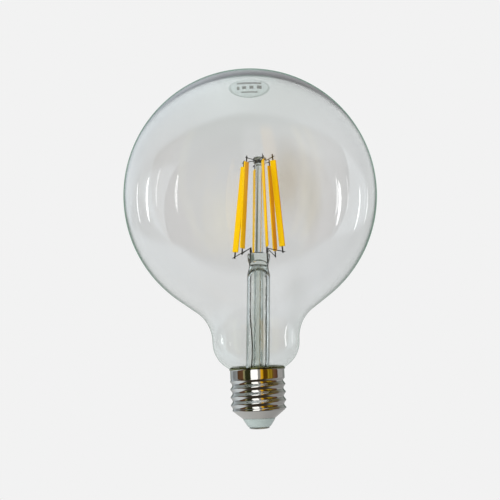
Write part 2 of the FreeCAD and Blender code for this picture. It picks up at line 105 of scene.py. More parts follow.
class Nodes:
    """The nodes of a material, a lamp or the world, and the one way to add to them."""

    def __init__(self, tree):
        self.tree = tree
        tree.nodes.clear()

    def add(self, kind, settings=None, inputs=None, output=0):
        node = self.tree.nodes.new(kind)
        for name, value in (settings or {}).items():
            if name == "stops":
                self.fill_ramp(node.color_ramp.elements, value)
            else:
                setattr(node, name, value)
        for key, value in (inputs or {}).items():
            if isinstance(value, Socket):
                self.tree.links.new(value.output, node.inputs[key])
            else:
                node.inputs[key].default_value = value
        return Socket(self, node.outputs[output]) if node.outputs else None

    def fill_ramp(self, elements, stops):
        """Gives a ramp its stops, each a place and a colour."""
        elements.remove(elements[1])
        elements[0].position, elements[0].color = stops[0]
        for place, colour in stops[1:]:
            elements.new(place).color = colour

    def ramp(self, value, stops):
        """A colour read off a ramp."""
        return self.add("ShaderNodeValToRGB", {"stops": stops}, {0: value})

    def blend(self, share, first, second):
        """A colour between two."""
        inputs = {0: share, 6: first, 7: second}
        return self.add("ShaderNodeMix", {"data_type": "RGBA"}, inputs, 2)

    def fade(self, value, start, end, low=0.0, high=1.0, kind="SMOOTHSTEP"):
        """Goes from low to high while a value goes from start to end."""
        inputs = {0: value, 1: start, 2: end, 3: low, 4: high}
        return self.add("ShaderNodeMapRange", {"interpolation_type": kind}, inputs)

    def between(self, value, low, high, soft):
        """1 where a value lies between two limits, with soft edges."""
        rise = self.fade(value, low - soft, low + soft)
        return rise * self.fade(value, high + soft, high - soft)

    def place(self):
        """The spot on the piece, with its X, Y and Z."""
        spot = self.add("ShaderNodeTexCoord")["Object"]
        return self.add("ShaderNodeSeparateXYZ", {}, {0: spot})

    def noise(self, scale, detail=2.0, stretch=None):
        """Noise that is fixed to the piece."""
        spot = self.add("ShaderNodeTexCoord")["Object"]
        if stretch:
            spot = self.add("ShaderNodeMapping", {}, {"Vector": spot, "Scale": stretch})
        inputs = {"Vector": spot, "Scale": scale, "Detail": detail}
        return self.add("ShaderNodeTexNoise", {}, inputs)

    def bump(self, height, strength, depth):
        """A normal that follows small hills of a depth in metres."""
        inputs = {"Strength": strength, "Distance": depth, "Height": height}
        return self.add("ShaderNodeBump", {}, inputs)

    def seen_rays(self):
        """1 for the rays that look at a thing, and 0 for those that light it."""
        path = self.add("ShaderNodeLightPath")
        first = path.maths("MAXIMUM", path["Is Camera Ray"], path["Is Glossy Ray"])
        return path.maths("MAXIMUM", first, path["Is Transmission Ray"])

    def end_surface(self, inputs):
        """One Principled surface, led to the material's output."""
        body = self.add("ShaderNodeBsdfPrincipled", {}, inputs)
        self.add("ShaderNodeOutputMaterial", {}, {0: body})


studio = bpy.data.worlds.new("studio")
bpy.context.scene.world = studio
studio.use_nodes = True
sky = Nodes(studio.node_tree)
pale_sweep = (0.888, 0.888, 0.888, 1)
soft_light = (0.34, 0.35, 0.36, 1)
light_path = sky.add("ShaderNodeLightPath")
direction = sky.add("ShaderNodeSeparateXYZ", {}, {0: sky.add("ShaderNodeTexCoord")["Generated"]})
# In degrees: a bearing of 0 is straight at the viewer, and a positive one is to the right.
bearing = direction.maths("ARCTAN2", direction["X"], 0 - direction["Y"]) * math.degrees(1)
height = direction.maths("ARCSINE", direction["Z"]) * math.degrees(1)
wall_end = 110
# From the wall's left end to its right one, as shares of its width.
wall_stops = [
    (0.00, (0.130, 0.060, 0.030, 1)),
    (0.212, (0.150, 0.075, 0.035, 1)),
    (0.224, (0.420, 0.380, 0.180, 1)),
    (0.250, (0.300, 0.290, 0.150, 1)),
    (0.262, (0.030, 0.036, 0.014, 1)),
    (0.47, (0.034, 0.038, 0.012, 1)),
    (0.50, (0.450, 0.440, 0.420, 1)),
    (0.553, (0.400, 0.380, 0.340, 1)),
    (0.563, (1.050, 0.560, 0.015, 1)),
    (0.600, (0.800, 0.420, 0.012, 1)),
    (0.618, (0.110, 0.048, 0.003, 1)),
    (0.692, (0.130, 0.060, 0.004, 1)),
    (0.715, (0.520, 0.370, 0.030, 1)),
    (0.745, (0.230, 0.140, 0.008, 1)),
    (0.775, (0.450, 0.300, 0.025, 1)),
    (0.800, (0.200, 0.120, 0.010, 1)),
    (0.835, (0.190, 0.095, 0.050, 1)),
    (0.895, (0.150, 0.070, 0.035, 1)),
    (0.920, (0.080, 0.035, 0.025, 1)),
    (1.00, (0.070, 0.030, 0.022, 1)),
]
wall = sky.ramp((bearing + wall_end) / (2 * wall_end), wall_stops)
wall = sky.blend(sky.between(height, -44, 44, 6), (0.06, 0.05, 0.04, 1), wall)
left_side = sky.blend(bearing > -93, (0.45, 0.47, 0.49, 1), wall)
from_inside = light_path["Transmission Depth"] > 0.5
seen_inside = from_inside * sky.between(bearing, 90, 142, 3)
right_side = sky.blend(seen_inside, (0.46, 0.46, 0.46, 1), (1.5, 1.6, 1.7, 1))
walls = sky.blend(bearing > 95, left_side, right_side)
reach = direction.maths("COSINE", bearing * math.radians(0.75))
ceiling_line = 14 + 45 * reach
floor_line = 8 + 61 * reach
ceiling_share = sky.fade(height - ceiling_line, -5.0, 5.0)
floor_share = sky.fade(0 - height - floor_line, -5.0, 5.0)
from_left = (direction["X"] + 1) / 2
ceiling_stops = [
    (0.05, (0.60, 0.64, 0.68, 1)),
    (0.22, (0.88, 0.96, 1.05, 1)),
    (0.38, (1.24, 1.32, 1.40, 1)),
    (0.50, (1.05, 1.09, 1.13, 1)),
    (0.65, (0.76, 0.76, 0.77, 1)),
    (0.80, (0.66, 0.67, 0.69, 1)),
    (0.95, (0.50, 0.51, 0.53, 1)),
]
room = sky.blend(ceiling_share, walls, sky.ramp(from_left, ceiling_stops))
in_front = sky.fade(direction["Y"], 0.05, -0.15)
floor_stops = [
    (0.10, (0.86, 0.94, 1.00, 1)),
    (0.30, (0.60, 0.61, 0.61, 1)),
    (0.50, (0.54, 0.54, 0.53, 1)),
    (0.75, (0.36, 0.36, 0.36, 1)),
]
far_floor = sky.ramp(from_left, floor_stops)
room_floor = sky.blend(in_front, far_floor, (0.05, 0.042, 0.030, 1))
room = sky.blend(floor_share, room, room_floor)
straight_behind = sky.fade(direction["Y"], 0.75, 0.93) * sky.fade(height, -16.0, 8.0)
room = sky.blend(straight_behind * 0.85, room, (0.14, 0.19, 0.16, 1))
# What is looked at through glass stands before the sweep. A ray that a skin throws back sees
# the room, and so does one that many walls of glass have turned away from the sweep. One that
# is thrown back inside the glass and leaves to the rear meets the sweep again.
backdrop = bearing.maths("MAXIMUM", bearing > 168, bearing < -138)
backdrop = backdrop * sky.between(height, -34, 62, 8)
deep_glass = light_path["Transmission Depth"] > 4.5
off_backdrop = deep_glass * (1 - backdrop)
piped = from_inside * sky.fade(direction["Y"], 0.45, 0.75) * (1 - deep_glass)
thrown_back = (light_path["Glossy Depth"] > 0.5) * (1 - piped)
looks_round = light_path.maths("MAXIMUM", off_backdrop, thrown_back)
seen = sky.blend(looks_round, pale_sweep, room)
sky_colour = sky.blend(sky.seen_rays(), soft_light, seen)
sky.add("ShaderNodeOutputWorld", {}, {0: sky.add("ShaderNodeBackground", {}, {0: sky_colour})})


def finish_of(name):
    """A new material and its nodes."""
    material = bpy.data.materials.new(name)
    material.use_nodes = True
    return material, Nodes(material.node_tree)


def add_object(name, data):
    """A new object in the scene."""
    thing = bpy.data.objects.new(name, data)
    bpy.context.scene.collection.objects.link(thing)
    return thing


floor_reach = 4.0
floor_level = -0.25
floor_finish, nodes = finish_of("pale_floor")
paper_tone = nodes.blend(nodes.noise(3.75, 3.0), (0.86, 0.86, 0.86, 1), (0.90, 0.90, 0.90, 1))
floor_light = nodes.add("ShaderNodeBsdfDiffuse", {}, {"Color": paper_tone})
floor_glow = nodes.add("ShaderNodeEmission", {}, {"Color": pale_sweep})
floor_mix = {0: nodes.seen_rays(), 1: floor_light, 2: floor_glow}
floor_shader = nodes.add("ShaderNodeMixShader", {}, floor_mix)
nodes.add("ShaderNodeOutputMaterial", {}, {0: floor_shader})
floor_shape = bmesh.new()
bmesh.ops.create_grid(floor_shape, x_segments=4, y_segments=4, size=floor_reach)
bmesh.ops.translate(floor_shape, verts=floor_shape.verts, vec=(0, 0, floor_level))
floor_mesh = bpy.data.meshes.new("floor")
floor_shape.to_mesh(floor_mesh)
floor_shape.free()
floor_mesh.materials.append(floor_finish)
floor = add_object("floor", floor_mesh)
floor.visible_glossy = False
floor.visible_transmission = False

lamp_target = Vector((0, 0, 0.112))
lamp_distance = 1.4


def hang_lamp(name, bearing, height, width, tall, radiance, tilt=0.0):
    """A soft oval lamp at a bearing and a height in degrees, which faces the globe.

    The tilt leans its upright side, so that it lies along the camera's.
    """
    turn = math.radians(bearing)
    rise = math.radians(height)
    level = math.cos(rise)
    way = Vector((math.sin(turn) * level, -math.cos(turn) * level, math.sin(rise)))
    lean = math.radians(tilt)
    upright = Vector((0, -math.sin(lean), math.cos(lean)))
    side = upright.cross(way).normalized()
    data = bpy.data.lights.new(name, "AREA")
    data.shape = "ELLIPSE"
    data.size = width
    data.size_y = tall
    oval_area = math.pi / 4 * width * tall
    data.energy = radiance * math.pi * oval_area
    lamp = add_object(name, data)
    lamp.visible_camera = False
    lamp.matrix_world = (
        Matrix.Translation(lamp_target + way * lamp_distance)
        @ Matrix((side, way.cross(side), way)).transposed().to_4x4()
    )
    return lamp


for name, bearing_of_lamp, height_of_lamp, size, radiance in (
    ("key_lamp", -30, 30, 0.9, 8.2),
    ("fill_lamp", 70, 25, 0.9, 1.0),
    ("back_lamp", 165, 35, 0.9, 1.6),
):
    lamp = hang_lamp(name, bearing_of_lamp, height_of_lamp, size, size, radiance)
    lamp.visible_glossy = False
    lamp.visible_transmission = False

# Glass globe
# The blown envelope of clear soda-lime glass: a sphere that runs through a cone into a short
# neck, thin at the equator and thick at the crown. Its throat is sealed to the stem's flare.
globe_radius = 0.06247
globe_centre = Vector((0, 0, 0.11212))
globe_wall = 0.0005
crown_wall = 0.0021
cone_angle = math.radians(36)
neck_radius = 0.02075
neck_wall = 0.0009
neck_blend = 0.018
inner_blend = 0.0186
shoulder_height = 0.0403
shoulder_radius = 0.0138
throat_radius = 0.0112
throat_wall = 0.001
throat_foot = 0.0205
dome_steps = 44
globe_segments = 180


def start_outline(shape, radius, height):
    """The first point of a half outline in the XZ plane."""
    return shape.verts.new((radius, 0, height))


def draw_line(shape, point, radius, height):
    """Carries a half outline on in a straight line."""
    end = bmesh.ops.extrude_vert_indiv(shape, verts=[point])["verts"][0]
    end.co = (radius, 0, height)
    return end


def draw_arc(shape, point, radius, height, angle, steps):
    """Carries a half outline on round a centre; a positive angle turns from +Z to +X."""
    centre = (radius, 0, height)
    turned = bmesh.ops.spin(
        shape, geom=[point], cent=centre, axis=(0, 1, 0), angle=angle, steps=steps
    )
    return turned["geom_last"][0]


def spin_outline(shape, steps):
    """Turns a half outline about the lamp's axis into a closed skin."""
    bmesh.ops.spin(
        shape,
        geom=shape.verts[:] + shape.edges[:],
        cent=(0, 0, 0),
        axis=(0, 0, 1),
        angle=2 * math.pi,
        steps=steps,
        use_merge=True,
    )
    bmesh.ops.remove_doubles(shape, verts=shape.verts, dist=1e-6)
    bmesh.ops.recalc_face_normals(shape, faces=shape.faces)


def make_piece(name, shape, material, slot, *replaced):
    """Ends a bmesh as a smooth piece that rides on the lamp's one body."""
    for face in shape.faces:
        face.smooth = True
    mesh = bpy.data.meshes.new(name)
    shape.to_mesh(mesh)
    shape.free()
    mesh.materials.append(material)
    piece = add_object(name, mesh)
    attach(piece, "root")
    if replaced:
        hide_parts(*replaced)
    return piece


def draw_side(shape, point, radius, neck, blend, shoulder, throat):
    """The envelope's side, from the equator down into the throat."""
    point = draw_arc(shape, point, 0, globe_centre.z, math.pi / 2 - cone_angle, 26)
    reach = (radius * math.sin(cone_angle) - neck) / math.cos(cone_angle)
    corner = globe_centre.z - radius * math.cos(cone_angle) - reach * math.sin(cone_angle)
    bend = math.pi / 2 - cone_angle
    blend_run = blend * math.tan(bend / 2)
    blend_centre = (neck + blend, corner - blend_run)
    start_x = blend_centre[0] - blend * math.sin(cone_angle)
    start_z = blend_centre[1] + blend * math.cos(cone_angle)
    point = draw_line(shape, point, start_x, start_z)
    point = draw_arc(shape, point, *blend_centre, -bend, 16)
    point = draw_line(shape, point, neck, shoulder_height)
    shoulder_x = neck - shoulder
    sweep = math.acos((throat - shoulder_x) / shoulder)
    point = draw_arc(shape, point, shoulder_x, shoulder_height, sweep, 12)
    return draw_line(shape, point, throat, throat_foot)


def glass_body(nodes, tone, roughness, index, skin):
    """What is seen of a glass with an index of refraction."""
    inputs = {"Base Color": tone, "Roughness": roughness, "IOR": index, "Normal": skin}
    inputs["Transmission Weight"] = 1.0
    return nodes.add("ShaderNodeBsdfPrincipled", {}, inputs)


def end_glass(nodes, seen, shade, depth_tone, density):
    """Ends a glass: it dims light a little, and its depth tints what is seen through it."""
    dimmed = nodes.add("ShaderNodeBsdfTransparent", {}, {"Color": shade})
    shares = {0: 1 - nodes.seen_rays(), 1: seen, 2: dimmed}
    depth = {"Color": depth_tone, "Density": density}
    ends = {
        "Surface": nodes.add("ShaderNodeMixShader", {}, shares),
        "Volume": nodes.add("ShaderNodeVolumeAbsorption", {}, depth),
    }
    nodes.add("ShaderNodeOutputMaterial", {}, ends)


clear_glass, nodes = finish_of("clear_glass")
ripple = nodes.bump(nodes.noise(28.0), 0.05, 0.0004)
film = nodes.noise(60.0)
film_and_reflection_tone = nodes.blend(film, (0.902, 0.894, 0.896, 1), (0.917, 0.911, 0.915, 1))
# Painted reflections: soft tinted places, each a middle, a size and a tint, where the glass's
# tone stands in for the room that the real glass throws back, three darker and warmer, two
# lighter.
for middle, size, reflection_tint in (
    ((0.0150, -0.0540, 0.1010), (0.010, 0.03, 0.018), (0.80, 0.74, 0.655, 1)),
    ((0.0250, -0.0500, 0.0950), (0.005, 0.03, 0.018), (0.83, 0.80, 0.75, 1)),
    ((0.0190, -0.0400, 0.0480), (0.008, 0.035, 0.022), (0.78, 0.775, 0.765, 1)),
    ((-0.0115, -0.0540, 0.0860), (0.009, 0.03, 0.017), (0.990, 0.965, 0.900, 1)),
    ((-0.0120, -0.0300, 0.0390), (0.007, 0.03, 0.017), (0.990, 1.0, 1.0, 1)),
):
    spot = nodes.add("ShaderNodeTexCoord")["Object"]
    laid = {0: spot, "Location": middle, "Scale": size}
    spot = nodes.add("ShaderNodeMapping", {"vector_type": "TEXTURE"}, laid)
    away = nodes.add("ShaderNodeVectorMath", {"operation": "LENGTH"}, {0: spot}, 1)
    painted_reflection_share = nodes.fade(away + 0.5 * film, 1.5, 0.3)
    film_and_reflection_tone = nodes.blend(painted_reflection_share, film_and_reflection_tone, reflection_tint)
clear_body = glass_body(nodes, film_and_reflection_tone, 0.0, 1.5, ripple)
# Seen edge-on above the neck, the glass lets less through and turns green: painted shade along
# the globe's rim, in the green of the glass's depth.
edge_on = nodes.add("ShaderNodeLayerWeight", {}, {"Blend": 0.5}, "Facing")
above_neck = nodes.fade(nodes.place()["Z"], 0.050, 0.085, 0.15, 1.0, "LINEAR")
rim_shade_share = nodes.fade(edge_on, 0.78, 0.97) * above_neck
painted_rim_shade = nodes.add("ShaderNodeBsdfTransparent", {}, {"Color": (0.56, 0.68, 0.62, 1)})
edged_glass = nodes.add("ShaderNodeMixShader", {}, {0: rim_shade_share, 1: clear_body, 2: painted_rim_shade})
end_glass(nodes, edged_glass, (0.95, 0.96, 0.96, 1), (0.24, 0.56, 0.42, 1), 75.0)

shape = bmesh.new()
point = start_outline(shape, 0, globe_centre.z + globe_radius)
point = draw_arc(shape, point, 0, globe_centre.z, math.pi / 2, dome_steps)
outer_sizes = (globe_radius, neck_radius, neck_blend, shoulder_radius, throat_radius)
outer_foot = draw_side(shape, point, *outer_sizes)
inner_radius = globe_radius - globe_wall
outer_side = set(shape.verts)
point = start_outline(shape, 0, globe_centre.z + inner_radius)
point = draw_arc(shape, point, 0, globe_centre.z, math.pi / 2, dome_steps)
for vert in set(shape.verts) - outer_side:
    out = vert.co - globe_centre
    extra = (crown_wall - globe_wall) * (out.z / inner_radius) ** 4
    vert.co = globe_centre + out * (1 - extra / inner_radius)
inner_sizes = (
    inner_radius,
    neck_radius - neck_wall,
    inner_blend,
    shoulder_radius - neck_wall,
    throat_radius - throat_wall,
)
inner_foot = draw_side(shape, point, *inner_sizes)
shape.edges.new((outer_foot, inner_foot))
spin_outline(shape, globe_segments)
globe = make_piece("globe_glass", shape, clear_glass, "clear_glass", "glass_globe")

# Crown print
# A plain oval stamp, baked on the crown in white enamel, with a border of dashes and a few
# bars in brown. It lies just under the outer face, where the enamel has sunk in.
print_radius = globe_radius - 0.00005
print_middle = Vector((0.0019, -0.0025, 0))
ground_wide = 0.0112
ground_deep = 0.0134
border_wide = 0.0104
border_deep = 0.0125
dash_count = 34
dash_size = Matrix.Diagonal((0.0011, 0.0006, 1, 1))
mark_gap = 0.00003


def lay_on_crown(shape):
    """Lifts a flat drawing on to the crown's curve."""
    for vert in shape.verts:
        out = Vector((vert.co.x, vert.co.y, 0)) + print_middle
        rise = math.sqrt(print_radius ** 2 - out.length_squared)
        vert.co = (out.x, out.y, globe_centre.z + rise)


white_enamel, nodes = finish_of("white_enamel")
nodes.end_surface(
    {
        "Base Color": (0.92, 0.93, 0.92, 1),
        "Roughness": 0.5,
        "Alpha": 0.55 + 0.35 * nodes.noise(900.0),
        # The enamel also glows a little: painted light that brightens the print.
        "Emission Color": (1.0, 1.0, 0.99, 1),
        "Emission Strength": 0.16,
    }
)
shape = bmesh.new()
bmesh.ops.create_circle(shape, cap_ends=True, cap_tris=True, segments=64, radius=1.0)
bmesh.ops.scale(shape, vec=(ground_wide, ground_deep, 1), verts=shape.verts)
bmesh.ops.subdivide_edges(shape, edges=shape.edges, cuts=3, use_grid_fill=True)
lay_on_crown(shape)
make_piece("crown_print_ground", shape, white_enamel, None)

brown_enamel, nodes = finish_of("brown_enamel")
wear = nodes.noise(1500.0)
nodes.end_surface(
    {
        "Base Color": nodes.blend(wear, (0.09, 0.07, 0.03, 1), (0.18, 0.14, 0.07, 1)),
        "Roughness": 0.55,
        "Alpha": 0.85 + 0.15 * wear,
    }
)
shape = bmesh.new()
for x, y, wide, deep in (
    (0, -0.0062, 0.0130, 0.0034),
    (-0.0060, 0.0013, 0.0014, 0.0047),
    (-0.0028, 0.0008, 0.0022, 0.0039),
    (0.0012, 0.0005, 0.0022, 0.0042),
    (0.0054, 0.0000, 0.0026, 0.0047),
    (0, 0.0068, 0.0090, 0.0013),
):
    bar = Matrix.Translation((x, y, 0)) @ Matrix.Diagonal((wide, deep, 1, 1))
    bmesh.ops.create_grid(shape, x_segments=6, y_segments=3, size=0.5, matrix=bar)
for number in range(dash_count):
    turn = 2 * math.pi * number / dash_count
    spot = Vector((border_wide * math.cos(turn), border_deep * math.sin(turn), 0))
    way = math.atan2(border_deep * math.cos(turn), -border_wide * math.sin(turn))
    dash = Matrix.Translation(spot) @ Matrix.Rotation(way, 4, "Z") @ dash_size
    bmesh.ops.create_grid(shape, x_segments=2, y_segments=1, size=0.5, matrix=dash)
lay_on_crown(shape)
# The marks lie on both sides of the ground, to be read from above and through the glass.
marks = shape.verts[:] + shape.edges[:] + shape.faces[:]
copied = bmesh.ops.duplicate(shape, geom=marks)["geom"]
above_ground = [item for item in copied if isinstance(item, bmesh.types.BMVert)]
bmesh.ops.translate(shape, verts=shape.verts, vec=(0, 0, -mark_gap))
bmesh.ops.translate(shape, verts=above_ground, vec=(0, 0, 2 * mark_gap))
make_piece("crown_print_marks", shape, brown_enamel, None)

# Stem
# The glass stem that is sealed into the neck: a flared tube, drawn in to a waist and pinched
# flat into a press round the two leads, with the blown hollow in the middle of the press.
# It leans a little to the right and to the front.
stem_pivot = Vector((0, 0, 0.0215))
stem_axis = Vector((math.tan(math.radians(2.9)), -math.tan(math.radians(2.7)), 1)).normalized()
stem_turn = Vector((0, 0, 1)).rotation_difference(stem_axis).to_matrix().to_4x4()
stem_place = Matrix.Translation(stem_pivot) @ stem_turn
tube_radius = 0.0056
tube_wall = 0.001
flare_height = 0.009
flare_radius = 0.010
press_top = 0.0614
hollow_height = 0.0561
hollow_size = Matrix.Diagonal((0.0038, 0.0016, 0.0021, 1))
# Up the press: a height, a width and a depth.
press_levels = (
    (0.0500, 0.0112, 0.0112),
    (0.0515, 0.0109, 0.0106),
    (0.0532, 0.0100, 0.0091),
    (0.0548, 0.0094, 0.0076),
    (0.0562, 0.0097, 0.0062),
    (0.0578, 0.0105, 0.0055),
    (0.0594, 0.0110, 0.0052),
    (0.0606, 0.0109, 0.0049),
    (0.0614, 0.0102, 0.0042),
)

stem_glass, nodes = finish_of("stem_glass")
streak = nodes.noise(1.0, stretch=(900, 900, 60))
stem_tone = nodes.blend(streak, (0.945, 0.962, 0.948, 1), (0.975, 0.985, 0.978, 1))
stem_body = glass_body(nodes, stem_tone, 0.01, 1.53, nodes.bump(streak, 0.10, 0.0003))
end_glass(nodes, stem_body, (0.92, 0.94, 0.93, 1), (0.45, 0.58, 0.50, 1), 60.0)


def roll_rings(shape, rings, segments):
    """A skin through level ovals, each a half width, a half depth and a height."""
    (wide, deep, level), *others = rings
    verts = bmesh.ops.create_circle(shape, segments=segments, radius=1.0)["verts"]
    bmesh.ops.scale(shape, vec=(wide, deep, 1), verts=verts)
    bmesh.ops.translate(shape, verts=verts, vec=(0, 0, level))
    first = list({edge for vert in verts for edge in vert.link_edges})
    edges = first
    for new_wide, new_deep, new_level in others:
        grown = bmesh.ops.extrude_edge_only(shape, edges=edges)["geom"]
        verts = [item for item in grown if isinstance(item, bmesh.types.BMVert)]
        edges = [item for item in grown if isinstance(item, bmesh.types.BMEdge)]
        bmesh.ops.scale(shape, vec=(new_wide / wide, new_deep / deep, 1), verts=verts)
        bmesh.ops.translate(shape, verts=verts, vec=(0, 0, new_level - level))
        wide, deep, level = new_wide, new_deep, new_level
    return first, edges


def flare_rings(radius, mouth_radius, heights):
    """The flare's bell, which opens ever faster to its foot."""
    rings = []
    for height in heights:
        reach = radius + (mouth_radius - radius) * ((flare_height - height) / flare_height) ** 2.6
        rings.append((reach, reach, height))
    return rings


shape = bmesh.new()
bore_radius = tube_radius - tube_wall
down = [flare_height * (12 - step) / 12 for step in range(13)]
# The press is closed above by a low ridge, and the bore in it by a dome.
press_rings = [(0.0012, 0.0006, press_top + 0.0003), (0.0040, 0.0014, press_top + 0.00025)]
for level, wide, deep in press_levels[::-1]:
    press_rings.append((wide / 2, deep / 2, level))
rings = press_rings + flare_rings(tube_radius, flare_radius, down)
rings += flare_rings(bore_radius, flare_radius - tube_wall, down[::-1])
for level, radius in (
    (0.0488, 0.00460),
    (0.0503, 0.00435),
    (0.0518, 0.00365),
    (0.0529, 0.00270),
    (0.0536, 0.00160),
    (0.0538, 0.00060),
):
    rings.append((radius, radius, level))
first, last = roll_rings(shape, rings, 96)
bmesh.ops.edgeloop_fill(shape, edges=first)
bmesh.ops.edgeloop_fill(shape, edges=last)
bmesh.ops.recalc_face_normals(shape, faces=shape.faces)
hollow = bmesh.ops.create_uvsphere(
    shape,
    u_segments=48,
    v_segments=24,
    radius=1.0,
    matrix=Matrix.Translation((0, 0, hollow_height)) @ hollow_size,
)["verts"]
hollow_faces = {face for vert in hollow for face in vert.link_faces}
bmesh.ops.reverse_faces(shape, faces=list(hollow_faces))
bmesh.ops.transform(shape, matrix=stem_place, verts=shape.verts)
make_piece("stem_glass_tube", shape, stem_glass, "stem_glass", "stem_tube")

# Exhaust tube
# The thin glass tube inside the stem, through which the globe was pumped out and filled. It
# hangs from the press in the stem's bore, and its lower end was drawn off to a tip.
exhaust_radius = 0.0023
exhaust_bore = 0.0013
shape = bmesh.new()
point = start_outline(shape, 0, -0.0044)
for radius, level in (
    (0.0008, -0.0043),
    (0.0017, -0.0028),
    (0.0022, -0.0017),
    (exhaust_radius, -0.0010),
    (exhaust_radius, -0.0004),
    (exhaust_radius, 0.0520),
    (exhaust_radius, 0.0524),
    (exhaust_radius - 0.0001, 0.0527),
    (0.0018, 0.0528),
    (exhaust_bore + 0.0001, 0.0527),
    (exhaust_bore, 0.0524),
    (exhaust_bore, 0.0520),
    (exhaust_bore, 0.0004),
    (exhaust_bore, -0.0004),
    (0.0010, -0.0014),
    (0.0005, -0.0022),
    (0, -0.0026),
):
    point = draw_line(shape, point, radius, level)
spin_outline(shape, 64)
bmesh.ops.transform(shape, matrix=stem_place, verts=shape.verts)
make_piece("exhaust_glass_tube", shape, stem_glass, "stem_glass", "exhaust_tube")

# Support rod
# A drawn glass rod, melted on to the press. Its top was softened and pressed into a button
# round the links.
rod_radius = 0.0021
rod_foot = press_top - 0.0001
foot_fillet = 0.0008
button_radius = 0.0034
button_low = 0.1066
button_top = 0.1100
button_fillet = 0.0006
low_rounding = 0.0012
top_rounding = 0.0010
shape = bmesh.new()
point = start_outline(shape, 0, rod_foot)
point = draw_line(shape, point, rod_radius + foot_fillet, rod_foot)
point = draw_arc(shape, point, rod_radius + foot_fillet, rod_foot + foot_fillet, math.pi / 2, 5)
button_foot = button_low - button_fillet
point = draw_line(shape, point, rod_radius, button_foot)
point = draw_arc(shape, point, rod_radius + button_fillet, button_foot, math.pi / 2, 5)
low_middle = (button_radius - low_rounding, button_low + low_rounding)
point = draw_line(shape, point, low_middle[0], button_low)
point = draw_arc(shape, point, *low_middle, -math.pi / 2, 8)
top_middle = (button_radius - top_rounding, button_top - top_rounding)
point = draw_line(shape, point, button_radius, top_middle[1])
point = draw_arc(shape, point, *top_middle, -math.pi / 2, 8)
point = draw_line(shape, point, 0, button_top)
spin_outline(shape, 64)
bmesh.ops.transform(shape, matrix=stem_place, verts=shape.verts)
make_piece("rod_and_button", shape, stem_glass, "stem_glass", "support_rod")

# Filaments
# Six flat strips of LEDs on a thin carrier, coated all round in yellow phosphor in silicone.
# They stand edge-on to the rod in a ring that narrows to the top.
filament_length = 0.0437
filament_width = 0.0030
filament_thickness = 0.0009
strip_rounding = 0.00038
foot_height = 0.0631
foot_radius = 0.0116
head_radius = 0.0081
tab_length = 0.0032
first_azimuth = 15
azimuth_step = 60
# For each strip, how far its foot and its head stand aside, and how much it is raised.
strip_settings = (
    (0.00085, -0.00060, -0.00020),
    (0.00010, -0.00125, 0.00140),
    (0.00000, -0.00065, 0.00095),
    (0.00045, -0.00050, -0.00060),
    (-0.00040, -0.00020, -0.00080),
    (0.00035, -0.00070, -0.00065),
)


def on_ring(azimuth, radius, height):
    """A point from its azimuth in degrees from the front, its radius and its height."""
    turn = math.radians(azimuth)
    return Vector((radius * math.sin(turn), -radius * math.cos(turn), height))


def filament_azimuth(number):
    """A strip's azimuth, counted from 0."""
    return first_azimuth + number * azimuth_step


def filament_end(number, head, beyond=0.0):
    """A point on a strip's middle line: its foot or its head, or a way beyond that end."""
    azimuth = filament_azimuth(number)
    foot_aside, head_aside, rise = strip_settings[number]
    slope = (head_radius - foot_radius) / filament_length
    along = on_ring(azimuth, slope, math.sqrt(1 - slope ** 2))
    distance = filament_length + beyond if head else -beyond
    spot = on_ring(azimuth, foot_radius, foot_height + rise) + along * distance
    spot.x += foot_aside + (head_aside - foot_aside) * distance / filament_length
    return stem_place @ spot


def strip_axes(number):
    """A strip's own axes: across it, through it and along it."""
    along = (filament_end(number, True) - filament_end(number, False)).normalized()
    across = stem_turn.to_3x3() @ on_ring(filament_azimuth(number), 1, 0)
    across = (across - along * across.dot(along)).normalized()
    return across, along.cross(across), along


def add_bar(shape, number, start, end, wide, thick, rounding, steps):
    """A flat bar between two points, in a strip's own axes, with rounded edges."""
    across, through, along = strip_axes(number)
    turn = Matrix((across, through, along)).transposed().to_4x4()
    size = Matrix.Diagonal((wide, thick, (end - start).length, 1))
    place = Matrix.Translation((start + end) / 2) @ turn @ size
    verts = bmesh.ops.create_cube(shape, size=1.0, matrix=place)["verts"]
    edges = {edge for vert in verts for edge in vert.link_edges}
    bmesh.ops.bevel(
        shape,
        geom=list(edges),
        offset=rounding,
        offset_type="OFFSET",
        segments=steps,
        profile=0.5,
        affect="EDGES",
        material=-1,
    )


phosphor, nodes = finish_of("phosphor")
mottle = nodes.noise(700.0, 4.0)
swell = nodes.noise(120.0)
# Painted shade: faces that look to the front right, away from the key lamp, turn a deeper orange,
# most on the strips to the right.
away_from_light = {0: nodes.add("ShaderNodeNewGeometry")["Normal"], 1: (0.80, -0.60, 0.0)}
facing = nodes.add("ShaderNodeVectorMath", {"operation": "DOT_PRODUCT"}, away_from_light, 1)
at_right = nodes.fade(nodes.place()["X"], -0.005, 0.002, 0.35, 1.0, "LINEAR")
painted_shade_share = nodes.fade(facing, 0.45, 1.0) * at_right
phosphor_and_shade_tone = nodes.blend(swell, (0.98, 0.55, 0.0, 1), (1.0, 0.64, 0.0, 1))
phosphor_and_shade_tone = nodes.blend(painted_shade_share, phosphor_and_shade_tone, (0.82, 0.30, 0.0, 1))
nodes.end_surface(
    {
        "Base Color": phosphor_and_shade_tone,
        "Roughness": 0.34 + 0.16 * mottle,
        "Specular IOR Level": 0.25,
        # A faint glow of painted light brightens the strips.
        "Emission Color": phosphor_and_shade_tone,
        "Emission Strength": 0.16,
        "Normal": nodes.bump(mottle + swell * 2, 0.35, 0.0002),
    }
)
for number in range(6):
    shape = bmesh.new()
    start = filament_end(number, False)
    end = filament_end(number, True)
    add_bar(shape, number, start, end, filament_width, filament_thickness, strip_rounding, 5)
    name = f"phosphor_strip_{number + 1}"
    make_piece(name, shape, phosphor, "phosphor", f"filament_{number + 1}")

